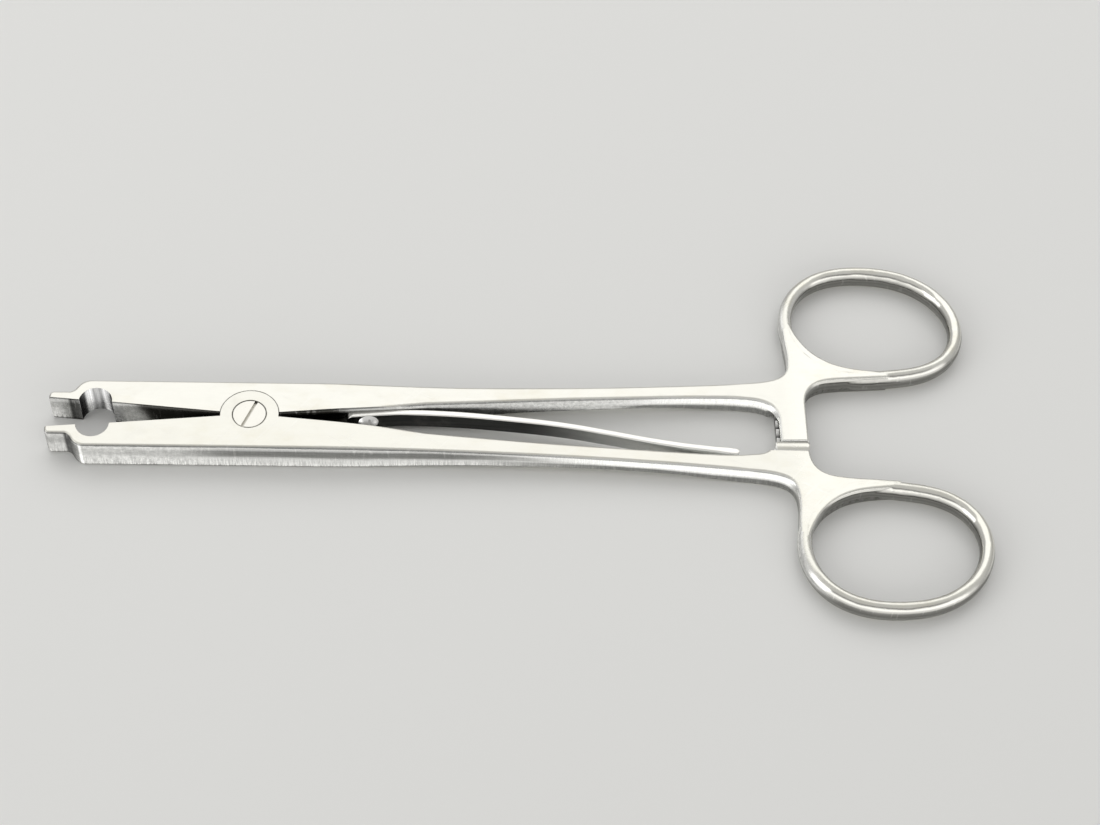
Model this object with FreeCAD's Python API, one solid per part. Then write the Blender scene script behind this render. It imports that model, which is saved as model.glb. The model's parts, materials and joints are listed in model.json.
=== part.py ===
import math
import os
import FreeCAD
import Part

# Wound clip applier, lying on its side faces with the handles squeezed on the ratchet.
# Millimetres. X runs along the tool, +X to the finger rings, and Z is up from the rest plane.
# Everything is drawn about the pivot axis, then moved so that the middle of the tool is at x = 0.
# The far arm lies on +Y. The near arm is its mirror, with the lap and ratchet halves swapped.

# Joint and jaws. The nose is the narrow end in front of the clip seat.
JOINT_T = 5.7
LAP_GAP = 0.02
X_TIP = -34.0
NOSE_OUT = 4.4
NOSE_R = 0.8
NOSE_L = 3.1
SHOULDER_L = 3.6
JAW_OUT = 6.9
SEAT_BACK = 7.9
SEAT_Y = 2.3
SEAT_R = 2.8
NOSE_ANGLE = 5.2
JAW_ANGLE = 5.45
DISC_R = 4.9
DISC_GAP = 0.07
EDGE_R = 0.45
BEVEL_X = 8.0
BEVEL_SLOPE = 0.155

# Pivot screw.
HEAD_R = 2.85
HEAD_T = 0.9
SHANK_R = 1.9
RUN_GAP = 0.05
SLOT_W = 0.55
SLOT_D = 0.5
SLOT_ANGLE = 68.0

# Ratchet tabs. Each reaches past the middle line of the tool, one over the other.
TAB_L = 90.1
TAB_W = 4.6
NEAR_TAB_OUT = 0.55
FAR_TAB_REACH = 2.85
NEAR_TAB_REACH = 4.3
TAB_GAP = 0.05
BAR_GAP = 0.26
STEP_GAP = 0.6
LAP_Z = 2.3
TOOTH_H = 0.6
TOOTH_PITCH = 1.85
NEAR_TEETH = 4
FAR_TEETH = 3
BAR_W = 1.9
BAR_RISE = 1.45
BAR_CROWN = 0.5

# Finger rings, placed from the right edge of the tabs.
RING_W = 2.45
RING_H = 4.2
RING_OUT = 12.78
RING_Y = 23.47
RING_R = 13.63
WEB_DROP = 0.08

# Leaf spring and its screw.
LEAF_T = 1.2
LEAF_H = 3.5
LEAF_TIP_T = 1.1
LEAF_TIP_H = 2.9
LEAF_ROOT_X = 16.2
LEAF_SEAT_L = 6.0
LEAF_TIP_BACK = 7.9
LEAF_TIP_GAP = 0.19
LEAF_TIP_Z = 2.5
LEAF_CORNER_R = 1.2
LEAF_SCREW_BACK = 3.6
LEAF_HEAD_R = 1.7
LEAF_HEAD_T = 0.9
LEAF_SLOT_W = 0.45
LEAF_SLOT_ANGLE = 80.0
LEAF_SHANK_R = 1.0
LEAF_SHANK_L = 3.4

# Shank between the pivot and the tab. Along it: (share of the way to the tab, share of the drop
# from the joint's top to the web's, share of the rise of the lower face).
SHANK_RISE = 1.2
BELLY_Y = 5.98
PROFILE = [(0.133, 0, 0), (0.222, 0.127, 0.125), (0.377, 0.418, 0.6), (0.528, 0.608, 0.917),
           (0.666, 0.741, 1), (0.828, 0.905, 0.667), (0.938, 1, WEB_DROP / SHANK_RISE)]
# Its outer and inner sides in plan: (share of the way to the tab, y).
OUTER_SHANK = [(0.144, JAW_OUT), (0.377, 6.85), (0.528, 7.17), (0.642, 7.56), (0.79, 8.3)]
INNER_SHANK = [(0.82, 5.8), (0.755, 5.5), (0.677, 5.12), (0.604, 4.75), (0.49, 4.07), (0.378, 3.3),
               (0.306, 2.7)]

# Web between the shank, the tab and the ring: (distance past the tab's edge, y).
INNER_TAB = [(-2.9, 5.35), (-4.9, 5.78), (-7.4, BELLY_Y), (-10.9, BELLY_Y)]
NECK = [(-10.7, 9.28), (-7.4, 9.68), (-5.1, 10.25), (-3.7, 11.05), (-2.8, 12.3), (-2.4, 14.2),
        (-2.4, 16.4), (-2.65, 19.0), (-2.75, 21.4)]
HOLE_SIDE = [(-1.45, 22.8), (-0.95, 21.3), (0.2, 18.9), (1.65, 16.8), (3.3, 15.3), (5.2, 14.1),
             (7.9, 13.15), (11.3, 12.6), (14.7, 12.42)]
CROTCH = [(14.9, 10.98), (11.6, 10.72), (7.9, 10.5), (4.9, 10.2), (2.8, 9.7), (1.45, 8.85),
          (0.6, 7.7), (0.13, 6.3), (0, 4.8)]

# What makes the ring's middle line oval, (order, cosine, sine) added to its mean radius.
RING_WAVES = [(2, 1.575, -0.057), (3, 0.253, -0.169), (4, -0.104, -0.116)]

# Bow of the leaf spring: (share of its length, share of the way across to the near arm).
LEAF_BOW = [(0.063, -0.033), (0.22, 0.01), (0.417, 0.168), (0.53, 0.302), (0.641, 0.49),
            (0.752, 0.69), (0.848, 0.834), (0.924, 0.917), (1, 1)]

TAB_R = TAB_L + TAB_W
NEAR_TAB_L = TAB_L - NEAR_TAB_OUT
SEAT_X = X_TIP + SEAT_BACK
ROOT_X = INNER_SHANK[-1][0] * TAB_L
RING_X = TAB_R + RING_OUT
BAR_Y = FAR_TAB_REACH + BAR_GAP + BAR_W / 2.0
LEAF_SCREW_X = LEAF_ROOT_X + LEAF_SCREW_BACK
LEAF_TIP_X = TAB_L - LEAF_TIP_BACK
LEAF_TIP_Y = LEAF_TIP_T / 2.0 + LEAF_TIP_GAP - BELLY_Y

# Blocks that cut right across the tool reach past these.
PAST_LEFT = X_TIP - 7.0
PAST_RIGHT = RING_X + 2.0 * RING_R
PAST_SIDE = RING_Y + 2.0 * RING_R
PAST_TOP = JOINT_T + 2.0

V = FreeCAD.Vector
UP = V(0, 0, 1)


def spline(points, first=None, last=None):
    curve = Part.BSplineCurve()
    pts = [V(p[0], p[1], 0) for p in points]
    if first is not None and last is not None:
        a = V(*first, 0).normalize()
        b = V(*last, 0).normalize()
        curve.interpolate(Points=pts, InitialTangent=a, FinalTangent=b, Scale=False)
    else:
        curve.interpolate(pts)
    return curve.toShape()


def line(a, b):
    return Part.makeLine(V(a[0], a[1], 0), V(b[0], b[1], 0))


def arc(a, m, b):
    return Part.Arc(V(a[0], a[1], 0), V(m[0], m[1], 0), V(b[0], b[1], 0)).toShape()


def prism(edges, z0, z1):
    face = Part.Face(Part.Wire(Part.__sortEdges__(edges)))
    face.translate(V(0, 0, z0))
    return face.extrude(V(0, 0, z1 - z0))


def poly(points, z0, z1):
    ring_ = points + points[:1]
    return prism([line(a, b) for a, b in zip(ring_, ring_[1:])], z0, z1)


def cyl(x, y, z0, z1, r):
    return Part.makeCylinder(r, z1 - z0, V(x, y, z0))


def cyl_x(x0, x1, y, z, r):
    return Part.makeCylinder(r, x1 - x0, V(x0, y, z), V(1, 0, 0))


def box(x0, y0, z0, x1, y1, z1):
    return Part.makeBox(x1 - x0, y1 - y0, z1 - z0, V(x0, y0, z0))


def side_profile():
    # The arm seen from the side, drawn in the XZ plane and carried across the whole width.
    top, bottom = [], []
    for share, drop, rise in PROFILE:
        top.append(V(share * TAB_L, -PAST_SIDE, JOINT_T - drop * (JOINT_T - RING_H + WEB_DROP)))
        bottom.append(V(share * TAB_L, -PAST_SIDE, rise * SHANK_RISE))

    def face_line(points):
        curve = Part.BSplineCurve()
        curve.interpolate(Points=points, InitialTangent=V(1, 0, 0), FinalTangent=V(1, 0, 0),
                          Scale=False)
        return curve.toShape()
    front_top = V(PAST_LEFT, -PAST_SIDE, top[0].z)
    front_bottom = V(PAST_LEFT, -PAST_SIDE, bottom[0].z)
    back_top = V(PAST_RIGHT, -PAST_SIDE, top[-1].z)
    back_bottom = V(PAST_RIGHT, -PAST_SIDE, bottom[-1].z)
    edges = [Part.makeLine(front_bottom, front_top), Part.makeLine(front_top, top[0]), face_line(top),
             Part.makeLine(top[-1], back_top), Part.makeLine(back_top, back_bottom),
             Part.makeLine(back_bottom, bottom[-1]), face_line(bottom),
             Part.makeLine(bottom[0], front_bottom)]
    face = Part.Face(Part.Wire(Part.__sortEdges__(edges)))
    return face.extrude(V(0, 2.0 * PAST_SIDE, 0))


def ring():
    # Oval finger ring: an upright elliptical section, in quarters, carried round the middle line.
    pts = []
    for i in range(24):
        t = 2.0 * math.pi * i / 24
        r = RING_R
        for n, c, s in RING_WAVES:
            r += c * math.cos(n * t) + s * math.sin(n * t)
        pts.append(V(RING_X + r * math.cos(t), RING_Y + r * math.sin(t), RING_H / 2.0))
    curve = Part.BSplineCurve()
    curve.interpolate(Points=pts, PeriodicFlag=True)
    path = curve.toShape()
    start = path.valueAt(path.FirstParameter)
    side = path.tangentAt(path.FirstParameter).cross(UP)
    oval = Part.Ellipse(start + UP * (RING_H / 2.0), start + side * (RING_W / 2.0), start)
    quarters = [oval.toShape(math.pi / 2.0 * i, math.pi / 2.0 * (i + 1)) for i in range(4)]
    pipe = Part.BRepOffsetAPI.MakePipeShell(Part.Wire([path]))
    pipe.setBiNormalMode(UP)
    pipe.add(Part.Wire(quarters))
    pipe.build()
    pipe.makeSolid()
    return pipe.shape()


def past(points, x):
    return [(x + p[0], p[1]) for p in points]


def along(points, length):
    return [(p[0] * length, p[1]) for p in points]


# Plan lines of the far arm, as points.
OUTER_LINE = along(OUTER_SHANK, TAB_L) + past(NECK, TAB_R)
HOLE_LINE = past(HOLE_SIDE, TAB_R)
CROTCH_LINE = past(CROTCH, TAB_R)
INNER_LINE = past(INNER_TAB, TAB_L) + along(INNER_SHANK, TAB_L)


def plate(tab_l, tab_end):
    # Whole plan of the arm apart from the ring, with the shank, web and ratchet tab. Its two
    # blunt ends lie inside the ring. The side towards the joint is trimmed later.
    tip0 = (X_TIP, 0.4)
    tip1 = (X_TIP, NOSE_OUT - NOSE_R)
    nose1 = (X_TIP + NOSE_R, NOSE_OUT)
    mid = NOSE_R * (1.0 - math.sqrt(0.5))
    nose2 = (X_TIP + NOSE_L, NOSE_OUT)
    out = JAW_OUT - NOSE_OUT
    shoulder = [(nose2[0] + 0.264 * SHOULDER_L, NOSE_OUT + 0.144 * out),
                (nose2[0] + 0.472 * SHOULDER_L, NOSE_OUT + 0.58 * out)]
    jaw0 = (nose2[0] + SHOULDER_L, JAW_OUT)
    lead = (BEVEL_X, INNER_LINE[-1][1] - (ROOT_X - BEVEL_X) * BEVEL_SLOPE)
    tab0 = (tab_l, 1.4)
    corner = [tab0, (tab_l - 0.25, 2.75), (tab_l - 1.05, 4.2)]
    return [line(tip0, tip1),
            arc(tip1, (X_TIP + mid, NOSE_OUT - mid), nose1),
            line(nose1, nose2),
            spline([nose2] + shoulder + [jaw0], (1, 0), (1, 0)),
            line(jaw0, OUTER_LINE[0]),
            spline(OUTER_LINE, (1, 0), (-0.06, 1)),
            line(OUTER_LINE[-1], HOLE_LINE[0]),
            spline(HOLE_LINE, (0.3, -1), (1, 0)),
            line(HOLE_LINE[-1], CROTCH_LINE[0]),
            spline(CROTCH_LINE, (-1, -0.05), (0, -1)),
            line(CROTCH_LINE[-1], (TAB_R, tab_end)),
            line((TAB_R, tab_end), (tab_l, tab_end)),
            line((tab_l, tab_end), tab0),
            spline(corner + INNER_LINE, (0, 1), (-1, -BEVEL_SLOPE)),
            line(INNER_LINE[-1], lead),
            line(lead, tip0)]


def long_edges(body):
    # The edges that run along the outline, on the upper and lower faces. The seams across the
    # arm, the upright edges, the hidden ends and the edges trimmed away later stay as they are.
    def at(p, q):
        return abs(p.x - q[0]) < 0.05 and abs(p.y - q[1]) < 0.05

    def joins(e, a, b):
        p = e.valueAt(e.FirstParameter)
        q = e.valueAt(e.LastParameter)
        return (at(p, a) and at(q, b)) or (at(p, b) and at(q, a))
    seams = (PROFILE[0][0] * TAB_L, PROFILE[-1][0] * TAB_L)
    web, shank = [], []
    for e in body.Edges:
        b = e.BoundBox
        c = e.CenterOfMass
        upright = b.XLength < 0.01 and b.YLength < 0.01
        seam = b.XLength < 0.05 and min(abs(b.XMin - x) for x in seams) < 0.1
        tip = b.XLength < 0.05 and c.x < X_TIP + 0.1
        hidden = (joins(e, OUTER_LINE[-1], HOLE_LINE[0])
                  or joins(e, HOLE_LINE[-1], CROTCH_LINE[0]))
        trimmed = c.y < 2.0 and c.x < BEVEL_X + 1
        tab_end = b.YLength < 0.05 and c.x > NEAR_TAB_L and c.y < 0
        if upright or seam or tip or hidden or trimmed or tab_end:
            continue
        if b.XMin > TAB_R - 1.2 and c.y > CROTCH_LINE[-1][1]:
            web.append(e)
        else:
            shank.append(e)
    return web, shank


def arm(near):
    # One forged arm, drawn on +Y. The near arm is turned to -Y at the end.
    tab_l = NEAR_TAB_L if near else TAB_L
    tab_end = -NEAR_TAB_REACH if near else -FAR_TAB_REACH
    body = prism(plate(tab_l, tab_end), -1, PAST_TOP).common(side_profile()).Solids[0]
    web, shank = long_edges(body)
    body = body.makeFillet(EDGE_R, web + shank)
    body = body.fuse(ring()).Solids[0]

    # The straight inner faces all point at the pivot: nose, jaw and the root of the shank.
    nose = math.tan(math.radians(NOSE_ANGLE))
    slope = math.tan(math.radians(JAW_ANGLE))
    jaw_cut = [(0, 0), (SEAT_X, -SEAT_X * slope), (SEAT_X, -SEAT_X * nose),
               (PAST_LEFT, -PAST_LEFT * nose), (PAST_LEFT, -3), (0, -3)]
    root_cut = [(0, 0), (ROOT_X, ROOT_X * slope), (ROOT_X, -3), (0, -3)]
    body = body.cut(poly(jaw_cut, -1, PAST_TOP)).cut(poly(root_cut, -1, PAST_TOP))
    body = body.cut(cyl(SEAT_X, SEAT_Y, -1, PAST_TOP, SEAT_R))

    # Half-lap joint: each arm keeps a round disc on one half and a round recess on the other.
    mid = JOINT_T / 2.0
    if near:
        body = body.cut(cyl(0, 0, -1, mid + LAP_GAP, DISC_R + DISC_GAP))
        body = body.fuse(cyl(0, 0, mid + LAP_GAP, JOINT_T, DISC_R))
        body = body.cut(cyl(0, 0, -1, PAST_TOP, SHANK_R + RUN_GAP))
        body = body.cut(cyl(0, 0, JOINT_T - HEAD_T - LAP_GAP, PAST_TOP, HEAD_R + RUN_GAP))
    else:
        body = body.cut(cyl(0, 0, mid - LAP_GAP, PAST_TOP, DISC_R + DISC_GAP))
        body = body.fuse(cyl(0, 0, 0, mid - LAP_GAP, DISC_R))
        body = body.cut(cyl(0, 0, -1, PAST_TOP, SHANK_R))

    # Ratchet: the far tab keeps its upper half, the near tab its lower half, and each is grooved
    # across on the face that meets the other.
    if near:
        floor_z = LAP_Z - TAB_GAP
        bar_z = LAP_Z + BAR_RISE
        step = BAR_Y + BAR_W / 2.0 + 0.09
        x0 = NEAR_TAB_L + 0.1
        body = body.cut(box(NEAR_TAB_L - 1.6, -10, floor_z, TAB_R + 1, step, PAST_TOP))
        crown_r = (BAR_W ** 2 / 4.0 + BAR_CROWN ** 2) / (2.0 * BAR_CROWN)
        bar = box(x0, BAR_Y - BAR_W / 2.0, floor_z - 0.25, TAB_R, BAR_Y + BAR_W / 2.0, PAST_TOP)
        crown = cyl_x(x0, TAB_R, BAR_Y, bar_z + BAR_CROWN - crown_r, crown_r)
        foot = box(x0, BAR_Y - BAR_W / 2.0, floor_z - 0.25, TAB_R, BAR_Y + BAR_W / 2.0, bar_z)
        body = body.fuse(bar.common(crown.fuse(foot)))
        for i in range(NEAR_TEETH):
            y = BAR_Y - BAR_W / 2.0 - 0.15 - i * TOOTH_PITCH
            body = body.cut(groove(y, y - TOOTH_PITCH, floor_z, -TOOTH_H))
    else:
        ceiling_z = LAP_Z + TAB_GAP
        body = body.cut(box(TAB_L - 2.9, -10, -1, TAB_R + 1, NEAR_TAB_REACH + STEP_GAP, ceiling_z))
        for i in range(FAR_TEETH):
            y = 0.3 - FAR_TAB_REACH + i * TOOTH_PITCH
            body = body.cut(groove(y, y + TOOTH_PITCH, ceiling_z, TOOTH_H))
        a = math.radians(JAW_ANGLE)
        seat = V(LEAF_SCREW_X, LEAF_SCREW_X * slope, mid)
        body = body.cut(Part.makeCylinder(LEAF_SHANK_R, LEAF_SHANK_L, seat, V(-math.sin(a), math.cos(a), 0)))
    if len(body.Solids) == 1:
        body = body.Solids[0]
    if near:
        body = body.mirror(V(0, 0, 0), V(0, 1, 0))
    return body


def groove(y0, y1, z, depth):
    # A sawtooth groove that runs along X: one steep side at y0, one long slope to y1.
    over = math.copysign(0.2, -depth)
    outline = [(y0, z + over), (y0, z), (y0 + 0.18 * (y1 - y0), z + depth), (y1, z), (y1, z + over),
               (y0, z + over)]
    return Part.Face(Part.makePolygon([V(TAB_L - 5.0, y, h) for y, h in outline])).extrude(V(TAB_W + 10.0, 0, 0))


def pivot_screw():
    # Flush round head with one slot, and a plain shank through both discs.
    top = JOINT_T
    head = cyl(0, 0, top - HEAD_T, top, HEAD_R)
    rim = [e for e in head.Edges if e.BoundBox.ZLength < 0.01 and e.CenterOfMass.z > top - 0.1]
    head = head.makeChamfer(0.12, rim)
    screw = head.fuse(cyl(0, 0, 0.1, top - HEAD_T, SHANK_R))
    slot = box(-4, -SLOT_W / 2.0, top - SLOT_D, 4, SLOT_W / 2.0, top + 1)
    slot.rotate(V(0, 0, 0), UP, SLOT_ANGLE)
    return screw.cut(slot).Solids[0]


def leaf_line():
    # Middle line of the leaf: straight on its seat, then bowed across to the near arm.
    a = math.radians(JAW_ANGLE)
    n = (-math.sin(a), math.cos(a))
    pts = []
    for x in (LEAF_ROOT_X, LEAF_ROOT_X + LEAF_SEAT_L):
        pts.append((x - n[0] * LEAF_T / 2.0, x * math.tan(a) - n[1] * LEAF_T / 2.0))
    x0, y0 = pts[1]
    for share, across in LEAF_BOW:
        pts.append((x0 + share * (LEAF_TIP_X - x0), y0 + across * (LEAF_TIP_Y - y0)))
    return pts[0], pts[1:], (math.cos(a), math.sin(a)), n


def leaf_spring():
    start, points, t0, n0 = leaf_line()
    mid = spline(points, t0, (1, -0.22))
    lo, hi = [], []
    steps = 16
    for i in range(steps + 1):
        u = mid.FirstParameter + (mid.LastParameter - mid.FirstParameter) * i / steps
        p = mid.valueAt(u)
        t = mid.tangentAt(u)
        h = (LEAF_T + (LEAF_TIP_T - LEAF_T) * i / steps) / 2.0
        hi.append((p.x - t.y * h, p.y + t.x * h))
        lo.append((p.x + t.y * h, p.y - t.x * h))
    end = mid.valueAt(mid.LastParameter)
    te = mid.tangentAt(mid.LastParameter)
    nose = (end.x + te.x * LEAF_TIP_T / 2.0, end.y + te.y * LEAF_TIP_T / 2.0)
    h0 = LEAF_T / 2.0
    r_hi = (start[0] + n0[0] * h0, start[1] + n0[1] * h0)
    r_lo = (start[0] - n0[0] * h0, start[1] - n0[1] * h0)
    edges = [line(r_hi, hi[0]), spline(hi), arc(hi[-1], nose, lo[-1]), spline(lo), line(lo[0], r_lo),
             line(r_lo, r_hi)]
    strip = prism(edges, -1, PAST_TOP)
    # Seen from the side the leaf keeps the middle of the arms, narrows to its tip and has a
    # rounded root.
    m0 = JOINT_T / 2.0
    x0 = LEAF_ROOT_X - 0.2
    x1 = LEAF_TIP_X + 1.0
    x2 = LEAF_ROOT_X + LEAF_SEAT_L + 0.8
    h = LEAF_H / 2.0
    ht = LEAF_TIP_H / 2.0
    r = LEAF_CORNER_R

    def p(x, z):
        return V(x, -PAST_SIDE, z)
    e = [Part.makeLine(p(x0, m0 - h + r), p(x0, m0 + h - r)),
         Part.Arc(p(x0, m0 + h - r), p(x0 + r * 0.293, m0 + h - r * 0.293), p(x0 + r, m0 + h)).toShape(),
         Part.makeLine(p(x0 + r, m0 + h), p(x2, m0 + h)),
         Part.makeLine(p(x2, m0 + h), p(x1, LEAF_TIP_Z + ht)),
         Part.makeLine(p(x1, LEAF_TIP_Z + ht), p(x1, LEAF_TIP_Z - ht)),
         Part.makeLine(p(x1, LEAF_TIP_Z - ht), p(x2, m0 - h)),
         Part.makeLine(p(x2, m0 - h), p(x0 + r, m0 - h)),
         Part.Arc(p(x0 + r, m0 - h), p(x0 + r * 0.293, m0 - h + r * 0.293), p(x0, m0 - h + r)).toShape()]
    side = Part.Face(Part.Wire(Part.__sortEdges__(e))).extrude(V(0, 2.0 * PAST_SIDE, 0))
    leaf = strip.common(side)
    a = math.radians(JAW_ANGLE)
    seat = V(LEAF_SCREW_X, LEAF_SCREW_X * math.tan(a), m0)
    hole = Part.makeCylinder(LEAF_SHANK_R, 6, seat + V(math.sin(a) * 3, -math.cos(a) * 3, 0),
                             V(-math.sin(a), math.cos(a), 0))
    return leaf.cut(hole).Solids[0]


def spring_screw():
    # Low domed head with one slot, its axis square to the seat of the leaf.
    base = LEAF_T
    dome_r = (LEAF_HEAD_R ** 2 + LEAF_HEAD_T ** 2) / (2.0 * LEAF_HEAD_T)
    ball = Part.makeSphere(dome_r, V(0, 0, base + LEAF_HEAD_T - dome_r))
    head = ball.common(Part.makeCylinder(LEAF_HEAD_R, 4, V(0, 0, base)))
    screw = head.fuse(Part.makeCylinder(LEAF_SHANK_R, LEAF_SHANK_L + base, V(0, 0, -LEAF_SHANK_L)))
    slot = box(-3, -LEAF_SLOT_W / 2.0, base + LEAF_HEAD_T - 0.45, 3, LEAF_SLOT_W / 2.0, 5)
    slot.rotate(V(0, 0, 0), UP, LEAF_SLOT_ANGLE)
    screw = screw.cut(slot).Solids[0]
    a = math.radians(JAW_ANGLE)
    screw.rotate(V(0, 0, 0), V(1, 0, 0), 90)
    screw.rotate(V(0, 0, 0), UP, JAW_ANGLE)
    screw.translate(V(LEAF_SCREW_X, LEAF_SCREW_X * math.tan(a), JOINT_T / 2.0))
    return screw


def main():
    # The middle of the tool's length comes to x = 0.
    os.makedirs("parts", exist_ok=True)
    nodes = [("far_arm", arm(False)), ("near_arm", arm(True)), ("pivot_screw", pivot_screw()),
             ("leaf_spring", leaf_spring()), ("spring_screw", spring_screw())]
    whole = nodes[0][1].BoundBox
    print("pivot at x", round(-(whole.XMin + whole.XMax) / 2.0, 3))
    for name, shape in nodes:
        shape.translate(V(-(whole.XMin + whole.XMax) / 2.0, 0, 0))
        box_ = shape.BoundBox
        print(name, shape.ShapeType, shape.isValid(), len(shape.Faces), round(shape.Volume, 1),
              [round(v, 2) for v in (box_.XMin, box_.YMin, box_.ZMin, box_.XMax, box_.YMax, box_.ZMax)])
        shape.exportStep("parts/" + name + ".step")


main()
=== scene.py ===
import json
import math
import bmesh
import bpy
from mathutils import Matrix, Vector


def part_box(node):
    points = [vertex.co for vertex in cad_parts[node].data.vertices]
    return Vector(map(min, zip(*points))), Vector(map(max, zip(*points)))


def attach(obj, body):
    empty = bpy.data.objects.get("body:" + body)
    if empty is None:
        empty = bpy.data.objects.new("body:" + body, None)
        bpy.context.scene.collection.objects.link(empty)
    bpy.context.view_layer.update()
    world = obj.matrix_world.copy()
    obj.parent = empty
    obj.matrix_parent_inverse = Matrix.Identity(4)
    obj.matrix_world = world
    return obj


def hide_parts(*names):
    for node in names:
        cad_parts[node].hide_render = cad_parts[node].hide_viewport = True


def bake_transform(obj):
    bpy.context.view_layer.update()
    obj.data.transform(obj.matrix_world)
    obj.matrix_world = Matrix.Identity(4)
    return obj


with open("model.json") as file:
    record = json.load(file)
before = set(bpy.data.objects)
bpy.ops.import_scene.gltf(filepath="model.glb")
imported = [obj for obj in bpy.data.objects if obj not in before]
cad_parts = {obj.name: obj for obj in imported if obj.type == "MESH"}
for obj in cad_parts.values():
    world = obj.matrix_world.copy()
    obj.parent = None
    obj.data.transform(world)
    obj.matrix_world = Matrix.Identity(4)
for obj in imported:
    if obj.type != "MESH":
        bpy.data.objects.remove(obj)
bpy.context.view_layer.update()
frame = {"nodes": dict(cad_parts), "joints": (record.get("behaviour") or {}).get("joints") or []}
arm_hinge = Vector(frame["joints"][0]["pos_m"])


# The table and the room.
# A plain pale table top with a soft sheen, a wide soft box above and behind the tool, a small one
# at its left, and a pale room whose near wall is bright low down and dark higher up.

def place(tree, kind, sockets=None, **settings):
    # One shader node. A socket gets either a plain value or another node's output.
    made = tree.nodes.new("ShaderNode" + kind)
    for key, value in settings.items():
        setattr(made, key, value)
    for key, value in (sockets or {}).items():
        if isinstance(value, bpy.types.NodeSocket):
            tree.links.new(value, made.inputs[key])
        else:
            made.inputs[key].default_value = value
    return made


def maths(tree, operation, *values, clamp=False):
    return place(tree, "Math", dict(enumerate(values)), operation=operation, use_clamp=clamp).outputs[0]


def times(tree, first, second):
    return maths(tree, "MULTIPLY", first, second)


def plus(tree, first, second, clamp=False):
    return maths(tree, "ADD", first, second, clamp=clamp)


def minus(tree, first, second):
    return maths(tree, "SUBTRACT", first, second)


def vectors(tree, operation, *values):
    return place(tree, "VectorMath", dict(enumerate(values)), operation=operation).outputs[0]


def scaled(tree, vector, share):
    return place(tree, "VectorMath", {0: vector, 3: share}, operation="SCALE").outputs[0]


def noise(tree, vector, **settings):
    sockets = {"Vector": vector, "Scale": 1.0}
    sockets.update({key.capitalize(): value for key, value in settings.items()})
    return place(tree, "TexNoise", sockets).outputs["Fac"]


def length_of(tree, vector):
    return place(tree, "VectorMath", {0: vector}, operation="LENGTH").outputs["Value"]


def grey(tree, level):
    return place(tree, "CombineXYZ", {"X": level, "Y": level, "Z": level}).outputs[0]


def ramp(tree, value, low, high, start=0.0, end=1.0):
    sockets = {"Value": value, "From Min": low, "From Max": high, "To Min": start, "To Max": end}
    return place(tree, "MapRange", sockets, interpolation_type="SMOOTHSTEP").outputs["Result"]


def blend_colour(tree, share, first, second, how="MIX"):
    mix = place(tree, "Mix", {0: share, 6: first, 7: second}, data_type="RGBA", blend_type=how)
    return mix.outputs[2]


def blend_value(tree, share, first, second):
    return place(tree, "Mix", {0: share, 2: first, 3: second}, data_type="FLOAT").outputs[0]


def profile(tree, value, stops):
    # A smooth curve through pairs of value and level.
    low, high = stops[0][0], stops[-1][0]
    share = place(tree, "MapRange", {"Value": value, "From Min": low, "From Max": high})
    made = place(tree, "ValToRGB", {"Fac": share.outputs["Result"]})
    made.color_ramp.interpolation = "EASE"
    points = made.color_ramp.elements
    for point, (spot, level) in ((points[0], stops[0]), (points[1], stops[-1])):
        point.color = (level, level, level, 1)
    for spot, level in stops[1:-1]:
        points.new((spot - low) / (high - low)).color = (level, level, level, 1)
    return made.outputs["Color"]


def bumped(tree, height, strength, distance, normal=None):
    sockets = {"Height": height, "Strength": strength, "Distance": distance}
    if normal is not None:
        sockets["Normal"] = normal
    return place(tree, "Bump", sockets).outputs["Normal"]


def new_material(name):
    made = bpy.data.materials.new(name)
    made.use_nodes = True
    return made, made.node_tree, made.node_tree.nodes["Principled BSDF"]


table_sink = 0.00002
bpy.ops.mesh.primitive_plane_add(size=8.0, location=(0, 0, -table_sink))
table = bpy.context.object
table.name = "table_top"
table_paint, tree, shader = new_material("pale_table")
spot = place(tree, "TexCoord").outputs["Object"]
grain = noise(tree, spot, scale=1400.0, detail=3.0)
tree.links.new(bumped(tree, grain, 0.12, 0.0001), shader.inputs["Normal"])
shader.inputs["Base Color"].default_value = (0.80, 0.80, 0.785, 1)
shader.inputs["Roughness"].default_value = 0.36
table.data.materials.append(table_paint)

room = bpy.data.worlds.new("room")
bpy.context.scene.world = room
room.use_nodes = True
tree = room.node_tree
way = place(tree, "TexCoord").outputs["Generated"]
_, depth, rise = place(tree, "SeparateXYZ", {"Vector": way}).outputs
near_side = ramp(tree, depth, -0.10, -0.50)
far_wall = ramp(tree, rise, 0.0, 0.8, 0.42, 0.60)
near_wall = profile(tree, rise, [
    (-0.1, 0.6), (0.0, 1.0), (0.54, 1.0), (0.65, 0.18), (0.73, 0.18), (0.84, 0.45), (1.0, 0.45)])
near_gain = 1.25
strength = blend_value(tree, near_side, far_wall, near_wall)
strength = blend_value(tree, near_side, strength, times(tree, strength, near_gain))
tree.links.new(strength, tree.nodes["Background"].inputs["Strength"])
tree.nodes["Background"].inputs["Color"].default_value = (1.0, 0.995, 0.98, 1)


def soft_box(name, spot, width, depth, radiance):
    lamp = bpy.data.lights.new(name, "AREA")
    lamp.shape = "RECTANGLE"
    lamp.size = width
    lamp.size_y = depth
    lamp.energy = radiance * math.pi * width * depth
    holder = bpy.data.objects.new(name, lamp)
    holder.location = spot
    holder.rotation_euler = (-Vector(spot)).to_track_quat("-Z", "Y").to_euler()
    bpy.context.scene.collection.objects.link(holder)


soft_box("overhead_box", (0.0, 0.42, 0.55), 1.1, 0.62, 0.68)
soft_box("left_box", (-0.55, -0.15, 0.35), 0.35, 0.35, 1.3)

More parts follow.
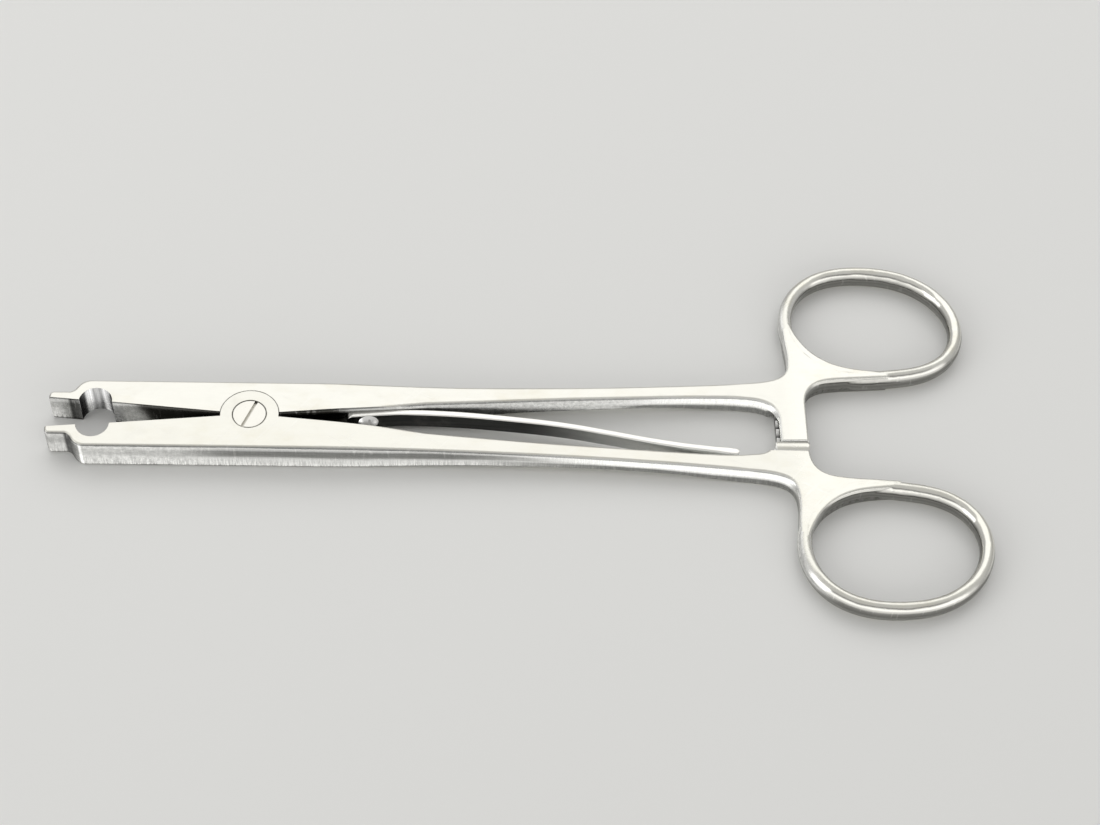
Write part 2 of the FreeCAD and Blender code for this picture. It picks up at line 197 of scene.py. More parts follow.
# The view of the photograph: from above and in front, with the jaws at the left.
lens_mm = 72.0
eye = Vector((-0.00537, -0.22458, 0.30249))
tilt, turn, roll = math.radians(52.72), math.radians(2.80), math.radians(2.95)
ahead = Vector((math.sin(turn) * math.cos(tilt), math.cos(turn) * math.cos(tilt), -math.sin(tilt)))
level = Vector((math.cos(turn), -math.sin(turn), 0))
upward = level.cross(ahead)
right = level * math.cos(roll) + upward * math.sin(roll)
up = upward * math.cos(roll) - level * math.sin(roll)
camera = bpy.data.objects.new("camera", bpy.data.cameras.new("camera"))
bpy.context.scene.collection.objects.link(camera)
camera.data.sensor_width = 36.0
camera.data.lens = lens_mm
camera.data.clip_start = 0.01
camera.data.clip_end = 20.0
camera.matrix_world = Matrix((
    (right.x, up.x, -ahead.x, eye.x),
    (right.y, up.y, -ahead.y, eye.y),
    (right.z, up.z, -ahead.z, eye.z),
    (0, 0, 0, 1)))
bpy.context.scene.camera = camera
bpy.context.scene.view_settings.view_transform = "Standard"


# The two arms.
# Forged and belt-ground stainless steel: flat faces finished along the tool, sides ground across their
# thickness and rings polished by hand. Inner walls are painted darker than the rest (painted shade),
# and walls, rings, seat and teeth carry painted reflection, highlight and shade.

joint_thickness = 0.0057


def new_group(name, inputs, outputs):
    tree = bpy.data.node_groups.new(name, "ShaderNodeTree")
    for label, kind in inputs:
        tree.interface.new_socket(label, in_out="INPUT", socket_type="NodeSocket" + kind)
    for label, kind in outputs:
        tree.interface.new_socket(label, in_out="OUTPUT", socket_type="NodeSocket" + kind)
    return tree, tree.nodes.new("NodeGroupInput").outputs, tree.nodes.new("NodeGroupOutput").inputs


def use_group(tree, group, sockets):
    made = tree.nodes.new("ShaderNodeGroup")
    made.node_tree = group
    for key, value in sockets.items():
        if isinstance(value, bpy.types.NodeSocket):
            tree.links.new(value, made.inputs[key])
        else:
            made.inputs[key].default_value = value
    return made.outputs


# Fine lines left by a grinding belt. Stretch is how many lines there are per metre each way.
grinding, given, gives = new_group(
    "grinding_lines",
    [("Place", "Vector"), ("Stretch", "Vector")],
    [("Lines", "Float"), ("Bands", "Float")])
close = vectors(grinding, "MULTIPLY", given["Place"], given["Stretch"])
grinding.links.new(noise(grinding, close, detail=4.0, roughness=0.65), gives["Lines"])
grinding.links.new(noise(grinding, scaled(grinding, close, 0.28), detail=2.0), gives["Bands"])

# Marks of use: a few hairline scratches at odd angles, and cloudy smudges.
wear, given, gives = new_group(
    "marks_of_use",
    [("Place", "Vector")],
    [("Scratches", "Float"), ("Smudges", "Float")])
hairs = []
for angle, along, across in ((0.5, 90.0, 2600.0), (-0.9, 70.0, 2100.0), (2.3, 110.0, 3100.0)):
    spun = place(wear, "Mapping", {"Vector": given["Place"], "Rotation": (0, 0, angle)}).outputs[0]
    hair = noise(wear, vectors(wear, "MULTIPLY", spun, (along, across, 300.0)), detail=0.0)
    hairs.append(ramp(wear, hair, 0.755, 0.80))
scratches = maths(wear, "MAXIMUM", maths(wear, "MAXIMUM", hairs[0], hairs[1]), hairs[2])
wear.links.new(scratches, gives["Scratches"])
cloud = noise(wear, given["Place"], scale=160.0, detail=5.0, roughness=0.7)
wear.links.new(ramp(wear, cloud, 0.54, 0.78), gives["Smudges"])

# Dirt held in the round gap between two parts that turn on one another.
gap_dirt, given, gives = new_group(
    "gap_dirt",
    [("Place", "Vector"), ("Centre", "Vector"), ("Radius", "Float"), ("Width", "Float")],
    [("Dirt", "Float")])
reach = length_of(gap_dirt, vectors(gap_dirt, "MULTIPLY", vectors(
    gap_dirt, "SUBTRACT", given["Place"], given["Centre"]), (1, 1, 0)))
off_line = maths(gap_dirt, "ABSOLUTE", minus(gap_dirt, reach, given["Radius"]))
nearness = maths(gap_dirt, "DIVIDE", off_line, given["Width"])
patchy = ramp(gap_dirt, noise(gap_dirt, given["Place"], scale=900.0, detail=2.0), 0.3, 0.55, 0.45, 1.0)
core = ramp(gap_dirt, nearness, 0.3, 1.0, 1.0, 0.0)
gap_dirt.links.new(times(gap_dirt, core, patchy), gives["Dirt"])

# Painted reflection: light and dark bands painted along a hand-ground wall, from its foot to its upper
# edge, beside a lean that tilts its normal. By the joint they are a pale foot with upright lines, a
# darker middle and a light edge. By the ring only the foot's last edge and the upper half are bright.
# The height is a share of the wall at that place.
painted_wall_bands, given, gives = new_group(
    "painted_wall_bands",
    [("Place", "Vector"), ("Lines", "Float")],
    [("Level", "Float"), ("Lean", "Float")])
x, y, z = place(painted_wall_bands, "SeparateXYZ", {"Vector": given["Place"]}).outputs
slow = vectors(painted_wall_bands, "MULTIPLY", given["Place"], (90.0, 40.0, 500.0))
wander = noise(painted_wall_bands, slow, detail=3.0)
wall_foot = profile(painted_wall_bands, x, [
    (-0.030, 0.0), (-0.017, 0.07), (-0.005, 0.18), (0.010, 0.21),
    (0.022, 0.18), (0.034, 0.03), (0.040, 0.0)])
wall_top = profile(painted_wall_bands, x, [
    (-0.045, 1.0), (-0.020, 0.93), (-0.008, 0.865), (0.010, 0.80), (0.028, 0.75), (0.040, 0.725)])
height = minus(painted_wall_bands, maths(painted_wall_bands, "DIVIDE", z, joint_thickness), wall_foot)
height = maths(painted_wall_bands, "DIVIDE", height, minus(painted_wall_bands, wall_top, wall_foot))
height = plus(painted_wall_bands, height, times(painted_wall_bands, minus(painted_wall_bands, wander, 0.5), 0.10))
ragged = plus(painted_wall_bands, height, times(painted_wall_bands, minus(painted_wall_bands, given["Lines"], 0.5), 0.16))
shank_share = ramp(painted_wall_bands, x, -0.012, 0.018)
jaw_share = profile(painted_wall_bands, x, [(-0.070, 0.75), (-0.058, 0.70), (-0.046, 0.0), (0.05, 0.0)])

by_joint = profile(painted_wall_bands, height, [
    (0.0, 0.76), (0.36, 0.62), (0.48, 0.46), (0.62, 0.34),
    (0.76, 0.32), (0.85, 0.45), (0.93, 0.64), (1.0, 0.7)])
by_ring = profile(painted_wall_bands, height, [
    (0.0, 1.0), (0.05, 0.95), (0.10, 0.46), (0.34, 0.36), (0.46, 0.66), (0.56, 1.0), (1.0, 1.0)])
middle = blend_value(painted_wall_bands, shank_share, by_joint, by_ring)
middle = blend_value(painted_wall_bands, jaw_share, middle, 0.70)
ends = profile(painted_wall_bands, ragged, [
    (0.0, 0.15), (0.03, 0.25), (0.10, 1.0), (0.92, 1.0), (0.955, 0.60), (1.0, 0.7)])
ends = blend_value(painted_wall_bands, times(painted_wall_bands, shank_share, 0.8), ends, 1.0)
streak = ramp(painted_wall_bands, given["Lines"], 0.36, 0.64, 0.74, 1.16)
foot = ramp(painted_wall_bands, height, 0.15, 0.5, 1.0, 0.25)
# Painted reflection: the wall's level of light and dark.
level = times(painted_wall_bands, middle, ends)
level = times(painted_wall_bands, level, blend_value(painted_wall_bands, foot, 1.0, streak))
painted_wall_bands.links.new(level, gives["Level"])

by_joint = profile(painted_wall_bands, height, [
    (0.0, 0.55), (0.45, 0.62), (0.54, 0.15), (0.75, 0.18), (0.83, 0.62), (1.0, 0.80)])
by_ring = profile(painted_wall_bands, height, [
    (0.0, 0.60), (0.06, 0.60), (0.11, 0.15), (0.34, 0.18), (0.47, 0.62), (0.85, 0.80), (1.0, 0.90)])
lean = blend_value(painted_wall_bands, shank_share, by_joint, by_ring)
lean = blend_value(painted_wall_bands, jaw_share, lean, 0.62)
under_edge = profile(painted_wall_bands, height, [(0.86, 0.0), (0.92, 0.75), (0.96, 1.0), (1.0, 1.5)])
painted_wall_bands.links.new(maths(painted_wall_bands, "MAXIMUM", lean, under_edge), gives["Lean"])

face_tone = (0.83, 0.82, 0.76, 1)
cloudy_tone = (0.77, 0.745, 0.65, 1)
worn_tone = (0.75, 0.735, 0.66, 1)
side_tone = (0.93, 0.93, 0.905, 1)
ring_tone = (0.86, 0.85, 0.80, 1)
# Painted shade for the walls that face the other arm.
painted_inner_shade_tone = (0.045, 0.043, 0.037, 1)
# Painted highlight on the teeth's crests and painted shade between them.
crest_painted_highlight_tone = (0.98, 0.98, 0.96, 1)
groove_painted_shade_tone = (0.06, 0.06, 0.055, 1)
scratch_tone = (0.9, 0.89, 0.86, 1)
stain_tone = (0.47, 0.44, 0.37, 1)
dirt_tone = (0.12, 0.11, 0.09, 1)
seat_radius = 0.0028
ring_start_x = 0.049
ring_middle_z, ring_reach_z = 0.0027, 0.0023
teeth_left, teeth_right, teeth_reach = 0.0438, 0.0502, 0.0044
stains = (
    (-0.0578, -0.0047, 0.0026), (-0.0535, -0.0060, 0.0020), (0.0457, 0.0108, 0.0016),
    (0.0522, -0.0135, 0.0018), (-0.0360, 0.0042, 0.0012), (0.0490, 0.0190, 0.0016))


def arm_steel(name, seat, gap_radius, worn_share):
    made, tree, shader = new_material(name)
    spot = place(tree, "TexCoord").outputs["Object"]
    facing = place(tree, "NewGeometry").outputs["Normal"]
    x, y, z = place(tree, "SeparateXYZ", {"Vector": spot}).outputs
    nx, ny, nz = place(tree, "SeparateXYZ", {"Vector": facing}).outputs
    flat_face = ramp(tree, maths(tree, "ABSOLUTE", nz), 0.55, 0.93)
    not_flat = minus(tree, 1.0, flat_face)
    on_ring = ramp(tree, x, ring_start_x - 0.004, ring_start_x + 0.004)
    along = use_group(tree, grinding, {"Place": spot, "Stretch": (420.0, 5200.0, 5200.0)})
    across = use_group(tree, grinding, {"Place": spot, "Stretch": (4600.0, 4600.0, 520.0)})
    marks = use_group(tree, wear, {"Place": spot})
    painted_bands = use_group(tree, painted_wall_bands, {"Place": spot, "Lines": across["Lines"]})
    mottle = noise(tree, scaled(tree, spot, 1500.0), detail=4.0, roughness=0.7)

    # Walls that face the other arm are painted dark from the seat to the spring's root, with a light
    # patch beside the seat: painted shade.
    towards_middle = times(tree, ny, times(tree, maths(tree, "SIGN", y), -1.0))
    inward = ramp(tree, towards_middle, 0.45, 0.85)
    patch_x = plus(tree, x, times(tree, minus(tree, mottle, 0.5), 0.003))
    patch_x = plus(tree, patch_x, times(tree, z, 0.45))
    painted_inner_shade = profile(tree, patch_x, [
        (-0.0790, 0.10), (-0.0632, 0.12), (-0.0606, 0.93), (-0.0290, 0.97),
        (-0.0252, 0.12), (0.0100, 0.05), (0.0500, 0.0)])
    painted_inner_shade = times(tree, inward, painted_inner_shade)

    # The round clip seat is painted with upright streaks of light and dark by the way its wall faces:
    # painted reflection.
    from_seat = vectors(tree, "MULTIPLY", vectors(tree, "SUBTRACT", spot, seat), (1, 1, 0))
    seat_reach = length_of(tree, from_seat)
    in_seat = ramp(tree, seat_reach, seat_radius + 0.00008, seat_radius + 0.00002)
    in_seat = times(tree, in_seat, not_flat)
    streak = noise(tree, scaled(tree, from_seat, 1700.0), detail=3.0, roughness=0.7)
    seat_painted_reflection = profile(tree, nx, [
        (-1.0, 0.03), (-0.86, 0.10), (-0.66, 0.90), (-0.45, 0.80), (-0.22, 0.50), (0.0, 0.42),
        (0.24, 0.52), (0.42, 0.95), (0.60, 0.85), (0.80, 0.16), (1.0, 0.03)])
    seat_painted_reflection = times(tree, seat_painted_reflection, ramp(tree, streak, 0.34, 0.66, 0.60, 1.30))

    # The shoulder between nose and jaw is painted with a dark upright band, then a bright one: painted
    # shade and painted highlight. Levels are halved, because a profile ends at 1.
    shoulder_painted_light = profile(tree, x, [
        (-0.0790, 0.44), (-0.07600, 0.42), (-0.07545, 0.08), (-0.07480, 0.12), (-0.07400, 0.22),
        (-0.07330, 0.30), (-0.07290, 0.95), (-0.07235, 0.50), (-0.0710, 0.5)])
    level = times(tree, painted_bands["Level"], times(tree, shoulder_painted_light, 2.0))
    blotch = ramp(tree, mottle, 0.3, 0.7, 0.82, 1.12)
    level = times(tree, level, blend_value(tree, ramp(tree, x, -0.060, -0.045), blotch, 1.0))

    # The inner walls beside the leaf are painted an even, mottled grey: painted reflection.
    beside_leaf = profile(tree, x, [(-0.027, 0.0), (-0.018, 0.9), (0.014, 0.9), (0.030, 0.0)])
    beside_leaf = times(tree, inward, beside_leaf)
    level = blend_value(tree, beside_leaf, level, ramp(tree, mottle, 0.3, 0.7, 0.48, 0.76))
    wall = blend_colour(tree, 1.0, side_tone, grey(tree, level), "MULTIPLY")

    # The rings are polished; their colour is painted bright above and darker towards the table: painted
    # highlight and painted shade.
    rise = times(tree, minus(tree, z, ring_middle_z), 1 / ring_reach_z)
    rise = maths(tree, "MAXIMUM", maths(tree, "MINIMUM", rise, 0.93), -0.93)
    upright = ramp(tree, maths(tree, "ABSOLUTE", nz), 0.05, 0.45, 1.0, 0.0)
    ring_painted_light = profile(tree, blend_value(tree, upright, nz, rise), [
        (-1.0, 0.50), (-0.60, 0.45), (-0.25, 0.28), (0.12, 0.28),
        (0.32, 0.60), (0.48, 1.0), (1.0, 1.0)])
    ring_painted_tone = blend_colour(tree, 1.0, ring_tone, grey(tree, ring_painted_light), "MULTIPLY")

    # The ratchet teeth are painted bright along their crests and dark between them: painted highlight
    # and painted shade.
    in_teeth = ramp(tree, x, teeth_left, teeth_left + 0.0002)
    in_teeth = times(tree, in_teeth, ramp(tree, x, teeth_right, teeth_right + 0.0003, 1.0, 0.0))
    to_side = maths(tree, "ABSOLUTE", y)
    in_teeth = times(tree, in_teeth, ramp(tree, to_side, teeth_reach, teeth_reach + 0.0002, 1.0, 0.0))
    teeth_height = profile(tree, z, [(0.0010, 0.0), (0.0014, 1.0), (0.0023, 1.0), (0.0025, 0.0)])
    in_teeth = times(tree, in_teeth, teeth_height)
    teeth_painted_light = blend_colour(tree, ramp(tree, z, 0.00165, 0.00205), groove_painted_shade_tone, crest_painted_highlight_tone)

    # The flat tops are pale, with faint clouds.
    cloud_at = vectors(tree, "MULTIPLY", spot, (110.0, 190.0, 100.0))
    cloud = noise(tree, cloud_at, detail=5.0, roughness=0.62)
    top = blend_colour(tree, ramp(tree, cloud, 0.46, 0.80), face_tone, cloudy_tone)
    top = blend_colour(tree, worn_share, top, worn_tone)

    tone = blend_colour(tree, on_ring, wall, ring_painted_tone)
    # Painted shade: the inner walls are darkened here.
    tone = blend_colour(tree, painted_inner_shade, tone, painted_inner_shade_tone)
    tone = blend_colour(tree, flat_face, tone, top)
    tone = blend_colour(tree, in_teeth, tone, teeth_painted_light)
    tone = blend_colour(tree, in_seat, tone, grey(tree, seat_painted_reflection))
    depth = times(tree, blend_value(tree, flat_face, 0.30, 0.05), blend_value(tree, on_ring, 1.0, 0.2))
    shade = plus(tree, 1.0, times(tree, minus(tree, along["Bands"], 0.5), depth))
    shade = plus(tree, shade, times(tree, minus(tree, along["Lines"], 0.5), depth))
    tone = blend_colour(tree, 1.0, tone, grey(tree, shade), "MULTIPLY")

    stain = 0.0
    for stain_x, stain_y, radius in stains:
        gap = place(tree, "VectorMath", {0: spot, 1: (stain_x, stain_y, 0.005)}, operation="DISTANCE")
        inside = ramp(tree, gap.outputs["Value"], radius * 0.3, radius, 1.0, 0.0)
        stain = maths(tree, "MAXIMUM", stain, inside)
    stain = times(tree, stain, blend_value(tree, marks["Smudges"], 0.06, 0.42))
    tone = blend_colour(tree, times(tree, stain, flat_face), tone, stain_tone)
    tone = blend_colour(tree, times(tree, marks["Scratches"], 0.16), tone, scratch_tone)
    rim = use_group(tree, gap_dirt, {
        "Place": spot, "Centre": arm_hinge, "Radius": gap_radius, "Width": 0.00012})
    dirt = times(tree, rim["Dirt"], flat_face)
    tone = blend_colour(tree, times(tree, dirt, 0.75), tone, dirt_tone)
    tree.links.new(tone, shader.inputs["Base Color"])

    rough = blend_value(tree, flat_face, 0.27, 0.33)
    rough = blend_value(tree, on_ring, rough, 0.12)
    rough = plus(tree, rough, times(tree, minus(tree, along["Bands"], 0.5), 0.16))
    rough = plus(tree, rough, times(tree, marks["Smudges"], 0.08), clamp=True)
    tree.links.new(rough, shader.inputs["Roughness"])

    by_hand = times(tree, ramp(tree, z, 0.0012, 0.0026, 1.0, 0.15), not_flat)
    lines = blend_value(tree, by_hand, along["Lines"], across["Lines"])
    relief = minus(tree, lines, times(tree, marks["Scratches"], 0.8))
    relief = times(tree, relief, blend_value(tree, on_ring, 1.0, 0.15))
    edge_radius = blend_value(tree, on_ring, 0.00006, 0.0005)
    rounded = place(tree, "Bevel", {"Radius": edge_radius}, samples=6).outputs[0]
    ground = bumped(tree, relief, 0.35, 0.00003, rounded)
    waves = times(tree, noise(tree, spot, scale=260.0, detail=1.0), on_ring)
    wavy = bumped(tree, waves, 0.6, 0.0004, ground)

    # Hand-ground walls are not quite upright, and swell a little under their upper edge.
    lean = blend_value(tree, beside_leaf, painted_bands["Lean"], 0.85)
    lean = blend_value(tree, in_seat, lean, 0.75)
    lean = times(tree, lean, not_flat)
    rounding = maths(tree, "SQRT", minus(tree, 1.0, times(tree, rise, rise)))
    rounding = times(tree, maths(tree, "DIVIDE", rise, rounding), upright)
    lean = blend_value(tree, on_ring, lean, plus(tree, rounding, 0.30))
    lean_way = place(tree, "CombineXYZ", {"Z": lean}).outputs[0]
    leaning = vectors(tree, "NORMALIZE", vectors(tree, "ADD", wavy, lean_way))
    tree.links.new(leaning, shader.inputs["Normal"])
    shader.inputs["Metallic"].default_value = 1.0
    return made


def paint(node, material):
    piece = frame["nodes"][node]
    piece.data.materials.clear()
    piece.data.materials.append(material)


seat_x = arm_hinge.x - 0.0261
seat_off = 0.0023
disc_gap_radius = 0.00497
screw_gap_radius = 0.00290
far_steel = arm_steel("far_arm_steel", (seat_x, seat_off, 0), disc_gap_radius, worn_share=0.0)
near_steel = arm_steel("near_arm_steel", (seat_x, -seat_off, 0), screw_gap_radius, worn_share=0.3)
paint("far_arm", far_steel)
paint("near_arm", near_steel)


# The ratchet bar.
# The crowned stop at the root of the near arm's tab, one with the arm. It is filed round at its
# ends and stands a little past the tab's edge.

def add_skin(mesh, loops):
    # Faces between closed loops of points, and one across each end.
    for a, b in zip(loops, loops[1:]):
        for k in range(len(a)):
            n = (k + 1) % len(a)
            mesh.faces.new((a[k], a[n], b[n], b[k]))
    mesh.faces.new(list(reversed(loops[0])))
    mesh.faces.new(loops[-1])


def finish_piece(mesh, name):
    bmesh.ops.recalc_face_normals(mesh, faces=mesh.faces)
    data = bpy.data.meshes.new(name)
    mesh.to_mesh(data)
    mesh.free()
    for face in data.polygons:
        face.use_smooth = True
    made = bpy.data.objects.new(name, data)
    bpy.context.scene.collection.objects.link(made)
    return made


bar_half, bar_low, bar_shoulder, bar_crown = 0.00097, 0.00228, 0.00370, 0.00427
bar_y, bar_left, bar_right = -0.00406, 0.04398, 0.04970


def build_bar():
    waist = (bar_low + bar_shoulder) / 2
    outline = [(-bar_half, bar_low), (-bar_half, waist)]
    for k in range(17):
        angle = math.pi * k / 16
        crown = bar_shoulder + (bar_crown - bar_shoulder) * math.sin(angle)
        outline.append((-bar_half * math.cos(angle), crown))
    outline += [(bar_half, waist), (bar_half, bar_low)]
    ends = [(0.0, 0.80), (0.00004, 0.88), (0.00012, 0.95), (0.00024, 0.985), (0.00040, 1.0)]
    stations = [(bar_left + step, share) for step, share in ends]
    stations += [(bar_left + (bar_right - bar_left) * k / 12, 1.0) for k in range(2, 11)]
    stations += [(bar_right - step, share) for step, share in reversed(ends)]
    mesh = bmesh.new()
    loops = []
    for x, share in stations:
        loop = []
        for y, z in outline:
            height = bar_low + (z - bar_low) * (0.5 + share / 2)
            loop.append(mesh.verts.new((x, bar_y + y * share, height)))
        loops.append(loop)
    add_skin(mesh, loops)
    return finish_piece(mesh, "ratchet_bar")


bar = build_bar()
bar.data.materials.append(frame["nodes"]["near_arm"].data.materials[0])
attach(bar, "near_body")


# The pivot screw.
# Turned stainless steel, set flush in the upper disc. Its face keeps the lathe's rings, the rim holds
# dirt, and the slot is painted darker with depth: painted shade.

turned_tone = (0.5, 0.49, 0.45, 1)
# Painted shade in the pivot screw's slot.
slot_painted_shade_tone = (0.30, 0.28, 0.24, 1)


def screw_steel(name, centre, across_axis, slot_top, rim_radius, metal, lean):
    made, tree, shader = new_material(name)
    spot = place(tree, "TexCoord").outputs["Object"]
    offset = vectors(tree, "SUBTRACT", spot, centre)
    reach = length_of(tree, vectors(tree, "MULTIPLY", offset, across_axis))
    rings = place(tree, "TexNoise", {"W": times(tree, reach, 9000.0), "Scale": 1.0, "Detail": 2.0},
                  noise_dimensions="1D").outputs["Fac"]
    marks = use_group(tree, wear, {"Place": spot})
    rim = use_group(tree, gap_dirt, {
        "Place": spot, "Centre": centre, "Radius": rim_radius, "Width": 0.00014})
    z = place(tree, "SeparateXYZ", {"Vector": spot}).outputs["Z"]
    # Painted shade: darker down into the slot.
    slot_painted_shade = ramp(tree, z, slot_top - 0.00022, slot_top - 0.00006, 1.0, 0.0)
    tone = blend_colour(tree, times(tree, rings, 0.12), metal, turned_tone)
    tone = blend_colour(tree, times(tree, marks["Smudges"], 0.25), tone, stain_tone)
    tone = blend_colour(tree, times(tree, slot_painted_shade, 0.35), tone, slot_painted_shade_tone)
    tone = blend_colour(tree, times(tree, rim["Dirt"], 0.8), tone, dirt_tone)
    tree.links.new(tone, shader.inputs["Base Color"])
    tree.links.new(plus(tree, 0.26, times(tree, rings, 0.12)), shader.inputs["Roughness"])
    turned = bumped(tree, rings, 0.25, 0.00002)
    leaning = vectors(tree, "NORMALIZE", vectors(tree, "ADD", turned, (0, 0, lean)))
    tree.links.new(leaning, shader.inputs["Normal"])
    shader.inputs["Metallic"].default_value = 1.0
    return made


screw_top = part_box("pivot_screw")[1].z
pivot_steel = screw_steel(
    "pivot_screw_steel", centre=(arm_hinge.x, 0, 0), across_axis=(1, 1, 0), slot_top=screw_top,
    rim_radius=0.00285, metal=(0.84, 0.825, 0.765, 1), lean=0.0)
paint("pivot_screw", pivot_steel)


# The spring screw.
# Small domed screw through the root of the leaf into the far arm, bright on its rounded head: its steel
# is painted brighter than the pivot screw's, a painted highlight.

spring_screw_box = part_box("spring_screw")
no_slot, no_rim = 0.0, 0.05
# Painted highlight: a brighter steel than the pivot screw's.
dome_steel = screw_steel(
    "spring_screw_steel", centre=(spring_screw_box[0] + spring_screw_box[1]) / 2, across_axis=(1, 0, 1),
    slot_top=no_slot, rim_radius=no_rim, metal=(0.97, 0.965, 0.95, 1), lean=0.7)
paint("spring_screw", dome_steel)


# The leaf spring.
# One strip of spring steel, rolled with rounded edges, narrowing to a blunt tip that bears on the near
# arm. It is straight on its seat and bowed beyond it.
# Places along it are measured from the hinge.

root_thick, root_high, leaf_z = 0.00120, 0.00350, 0.00285
tip_thick, tip_high, tip_z = 0.00110, 0.00290, 0.00250
seat_angle = math.radians(5.45)
root_x, seat_length, tip_x, tip_y = 0.0162, 0.0060, 0.0822, -0.00524
root_round = 0.0012
edge_round = 0.00024
tip_swell, swell_back, swell_spread = 0.22, 0.0012, 0.0016
# Painted shade and painted light on the leaf's sides.
side_painted_shade_tone, side_painted_light_tone = (0.012, 0.013, 0.012, 1), (0.86, 0.87, 0.85, 1)
edge_tone = (0.90, 0.89, 0.85, 1)
smudge_tone = (0.40, 0.38, 0.33, 1)
# Pairs from the end of the seat to the tip: share of the way along, share of the way across.
bow = (
    (0.063, -0.033), (0.22, 0.01), (0.417, 0.168), (0.53, 0.302), (0.641, 0.49),
    (0.752, 0.69), (0.848, 0.834), (0.924, 0.917), (1.0, 1.0))


def smooth_line(stations, pieces):
    # A curve through the stations, as many points.
    line = []
    for i in range(len(stations) - 1):
        p1, p2 = stations[i], stations[i + 1]
        p0 = stations[i - 1] if i else p1 * 2 - p2
        p3 = stations[i + 2] if i + 2 < len(stations) else p2 * 2 - p1
        d1 = (p2 - p0) * ((p2 - p1).length / (p2 - p0).length)
        d2 = (p3 - p1) * ((p2 - p1).length / (p3 - p1).length)
        for k in range(pieces):
            t = k / pieces
            line.append(p1 * (2 * t**3 - 3 * t**2 + 1) + d1 * (t**3 - 2 * t**2 + t)
                        + p2 * (3 * t**2 - 2 * t**3) + d2 * (t**3 - t**2))
    return line + [stations[-1]]


def leaf_path(count):
    # Points of the middle line from the root to the tip, evenly spaced, and its length.
    slope = math.tan(seat_angle)
    off = Vector((math.sin(seat_angle), -math.cos(seat_angle))) * (root_thick / 2)
    seat_places = (root_x, root_x + seat_length / 2, root_x + seat_length)
    seat = [Vector((x, x * slope)) + off for x in seat_places]
    start = seat[-1]
    free = [Vector((start.x + share * (tip_x - start.x), start.y + across * (tip_y - start.y)))
            for share, across in bow]
    line = smooth_line(seat + free, 24)
    gone = [0.0]
    for a, b in zip(line, line[1:]):
        gone.append(gone[-1] + (b - a).length)
    points = []
    j = 0
    for i in range(count + 1):
        want = gone[-1] * i / count
        while j < len(line) - 2 and gone[j + 1] < want:
            j += 1
        share = (want - gone[j]) / (gone[j + 1] - gone[j])
        points.append(line[j].lerp(line[j + 1], min(1.0, share)))
    return points, gone[-1]


def leaf_stations(length, steps):
    # Distances from the root, with how wide the leaf is there as a share of its thickness: close
    # together round the root's upper and lower corners, even along the leaf, and round its nose.
    corner = [(root_round * (1 - math.cos(math.pi / 2 * k / 6)), 1.0) for k in range(7)]
    even = [(length * i / steps, 1.0) for i in range(1, steps + 1)]
    even = [station for station in even if station[0] > root_round * 1.05]
    quarter = [math.pi / 2 * k / 6 for k in range(1, 7)]
    nose = [(length + tip_thick / 2 * math.sin(angle), math.cos(angle)) for angle in quarter]
    return corner + even + nose


def leaf_section(thick, high, steps):
    # A rectangle across the leaf with rounded corners.
    r = min(edge_round, thick / 2 * 0.98)
    points = []
    for quarter, (way_y, way_z) in enumerate(((1, 1), (-1, 1), (-1, -1), (1, -1))):
        for k in range(steps + 1):
            angle = math.pi / 2 * (quarter + k / steps)
            across = way_y * (thick / 2 - r) + r * math.cos(angle)
            up = way_z * (high / 2 - r) + r * math.sin(angle)
            points.append((across, up))
    return points


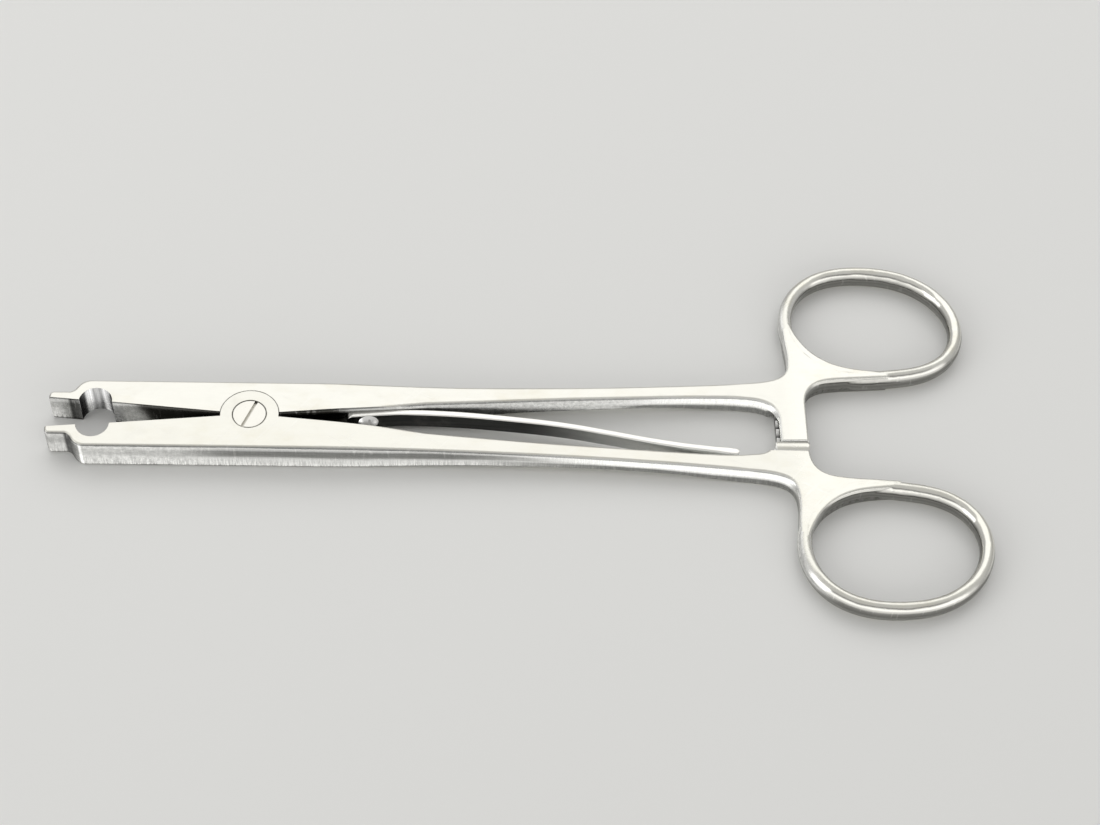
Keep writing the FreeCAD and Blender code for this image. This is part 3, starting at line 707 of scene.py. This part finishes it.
def build_leaf():
    steps = 150
    path, length = leaf_path(steps)
    mesh = bmesh.new()
    loops = []
    for distance, slim in leaf_stations(length, steps):
        inside = min(distance, length)
        share = inside / length
        step = min(share * steps, steps - 1e-6)
        i = int(step)
        way = (path[i + 1] - path[i]).normalized()
        middle = path[i].lerp(path[i + 1], step - i) + way * (distance - inside)
        side = Vector((-way.y, way.x))
        swell = 1.0 + tip_swell * math.exp(-((inside - length + swell_back) / swell_spread) ** 2)
        thick = (root_thick + (tip_thick - root_thick) * share) * slim * swell
        high = root_high + (tip_high - root_high) * share
        if distance < root_round:
            high -= 2 * (root_round - math.sqrt(max(0.0, root_round**2 - (root_round - distance) ** 2)))
        middle_z = leaf_z + (tip_z - leaf_z) * share
        loop = []
        for across, up in leaf_section(thick, high, 5):
            point = middle + side * across
            loop.append(mesh.verts.new((arm_hinge.x + point.x, point.y, middle_z + up)))
        loops.append(loop)
    add_skin(mesh, loops)
    bmesh.ops.remove_doubles(mesh, verts=mesh.verts, dist=0.000002)
    return finish_piece(mesh, "leaf_strip")


def spring_steel():
    # Its sides are painted dark, paling towards the tip with some grain: painted shade and painted
    # reflection. It is bright along its edges.
    made, tree, shader = new_material("spring_strip_steel")
    spot = place(tree, "TexCoord").outputs["Object"]
    facing = place(tree, "NewGeometry").outputs["Normal"]
    nz = place(tree, "SeparateXYZ", {"Vector": facing}).outputs["Z"]
    edge = ramp(tree, maths(tree, "ABSOLUTE", nz), 0.30, 0.75)
    lines = use_group(tree, grinding, {"Place": spot, "Stretch": (260.0, 900.0, 6500.0)})
    marks = use_group(tree, wear, {"Place": spot})
    x = place(tree, "SeparateXYZ", {"Vector": spot}).outputs["X"]
    # Painted light: the sides pale towards the tip, with grain bands.
    painted_paling = plus(tree, times(tree, lines["Bands"], 0.10), ramp(tree, x, 0.000, 0.029), clamp=True)
    tone = blend_colour(tree, painted_paling, side_painted_shade_tone, side_painted_light_tone)
    tone = blend_colour(tree, edge, tone, edge_tone)
    tone = blend_colour(tree, times(tree, marks["Smudges"], 0.2), tone, smudge_tone)
    tree.links.new(tone, shader.inputs["Base Color"])
    tree.links.new(plus(tree, 0.22, times(tree, lines["Lines"], 0.16)), shader.inputs["Roughness"])
    tree.links.new(bumped(tree, lines["Lines"], 0.3, 0.00002), shader.inputs["Normal"])
    shader.inputs["Metallic"].default_value = 1.0
    return made


leaf = build_leaf()
leaf.data.materials.append(spring_steel())
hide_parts("leaf_spring")
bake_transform(leaf)
